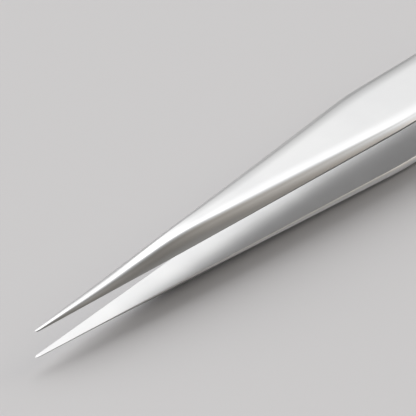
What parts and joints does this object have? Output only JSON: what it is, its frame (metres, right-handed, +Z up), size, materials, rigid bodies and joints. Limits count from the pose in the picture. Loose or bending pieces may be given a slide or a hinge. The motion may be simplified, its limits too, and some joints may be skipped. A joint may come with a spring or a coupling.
{
  "type": "precision tweezers",
  "caption": "Straight needle-point precision tweezers: spring arms of bare steel joined at the heel over a wedge, for gripping small parts.",
  "frame": {"origin": "on the surface the tweezers lie on, under the middle of their length and width", "axes": "+X along the tweezers from the points to the heel, +Y across the arms, +Z up, the way the arms open"},
  "size_m": [0.12, 0.0102, 0.0072],
  "materials": {
    "arm_steel": "satin polished stainless steel",
    "wedge_steel": "ground stainless steel",
    "weld_steel": "as welded stainless steel"
  },
  "bodies": {
    "heel": {"heel_wedge": "wedge_steel", "upper_welds": "weld_steel", "lower_welds": "weld_steel"},
    "upper": {"upper_arm": "arm_steel"},
    "lower": {"lower_arm": "arm_steel"}
  },
  "joints": [
    {"name": "upper_arm_flex", "type": "hinge", "parent": "heel", "child": "upper", "pos_m": [0.046, 0, 0.0047], "axis": [0, -1, 0], "range_deg": [0, 0.88], "stiffness_Nm_per_rad": 7},
    {"name": "lower_arm_flex", "type": "hinge", "parent": "heel", "child": "lower", "pos_m": [0.046, 0, 0.0025], "axis": [0, 1, 0], "range_deg": [0, 0.88], "stiffness_Nm_per_rad": 7}
  ]
}
